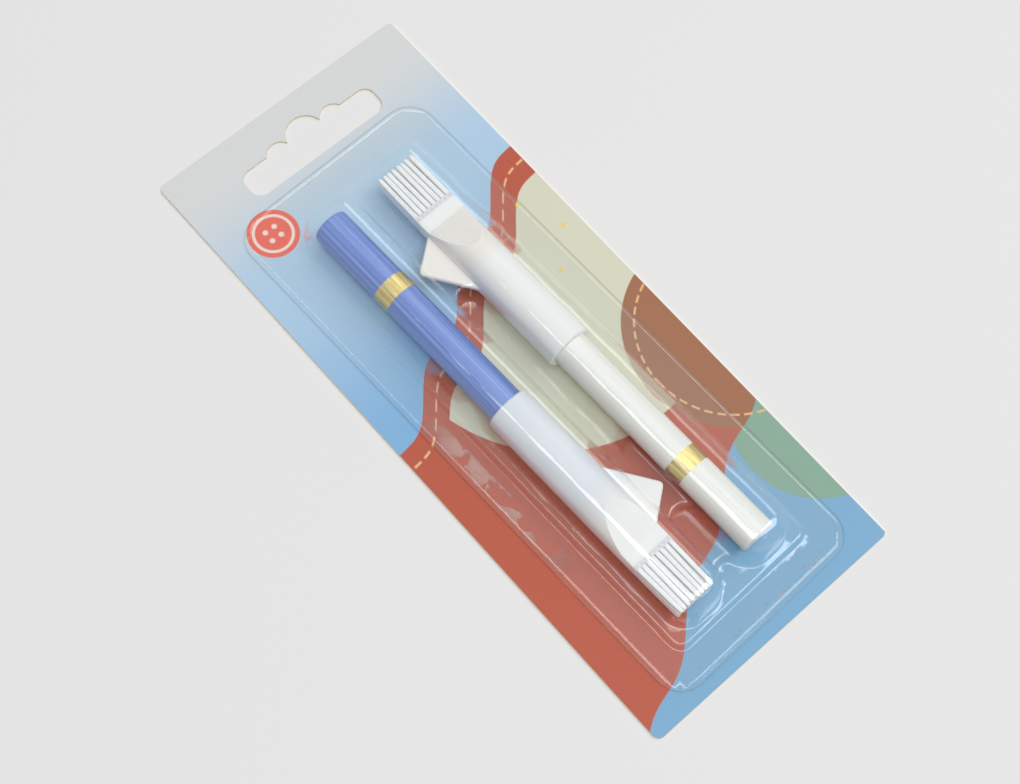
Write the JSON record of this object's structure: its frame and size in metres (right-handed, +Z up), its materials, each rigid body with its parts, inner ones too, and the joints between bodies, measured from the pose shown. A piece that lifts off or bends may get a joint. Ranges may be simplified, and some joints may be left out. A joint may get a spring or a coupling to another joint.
{
  "type": "tailor's chalk pencil set",
  "caption": "White and blue chalk pencils with fin and brush caps, head to tail in a clear blister heat-sealed to a printed hang card with a slot.",
  "frame": {"origin": "centre of the card's back face", "axes": "+Z up through the card's printed face, +Y along the card towards the hang slot, +X across the card"},
  "size_m": [0.06, 0.144, 0.011],
  "materials": {
    "board": "printed, satin",
    "seal": "thin heat-seal lacquer",
    "clear_film": "clear, glossy",
    "white_chalk": "chalky, matt",
    "blue_chalk": "chalky, matt",
    "wood": "sharpened bare wood",
    "white_lacquer": "glossy lacquer",
    "blue_lacquer": "glossy lacquer",
    "gold_foil": "gold hot foil",
    "white_plastic": "moulded, translucent white"
  },
  "bodies": {
    "card": {"backing_card": "board", "heat_seal": "seal"},
    "blister": {"blister": "clear_film"},
    "white_pencil": {"white_lead": "white_chalk", "white_casing_upper": "wood", "white_casing_lower": "wood", "white_lacquer": "white_lacquer", "white_foil_band": "gold_foil"},
    "white_cap": {"white_cap": "white_plastic", "white_brush": "white_plastic"},
    "blue_pencil": {"blue_lead": "blue_chalk", "blue_casing_upper": "wood", "blue_casing_lower": "wood", "blue_lacquer": "blue_lacquer", "blue_foil_band": "gold_foil"},
    "blue_cap": {"blue_cap": "white_plastic", "blue_brush": "white_plastic"}
  },
  "joints": [
    {"name": "blister_lift", "type": "slide", "parent": "card", "child": "blister", "axis": [0, 0, 1], "range_m": [0, 0.18]},
    {"name": "white_pencil_lift", "type": "slide", "parent": "card", "child": "white_pencil", "axis": [0, 0, 1], "range_m": [0, 0.0225]},
    {"name": "white_cap_pull", "type": "slide", "parent": "white_pencil", "child": "white_cap", "axis": [-0.0244, 0.9997, 0], "range_m": [0, 0.036]},
    {"name": "blue_pencil_lift", "type": "slide", "parent": "card", "child": "blue_pencil", "axis": [0, 0, 1], "range_m": [0, 0.0225]},
    {"name": "blue_cap_pull", "type": "slide", "parent": "blue_pencil", "child": "blue_cap", "axis": [0.0244, -0.9997, 0], "range_m": [0, 0.036]}
  ],
  "couplings": [
    {"joint": "white_pencil_lift", "follows": "blister_lift", "ratio": 0.125},
    {"joint": "white_cap_pull", "follows": "blister_lift", "ratio": 0.2},
    {"joint": "blue_pencil_lift", "follows": "blister_lift", "ratio": 0.125},
    {"joint": "blue_cap_pull", "follows": "blister_lift", "ratio": 0.2}
  ]
}
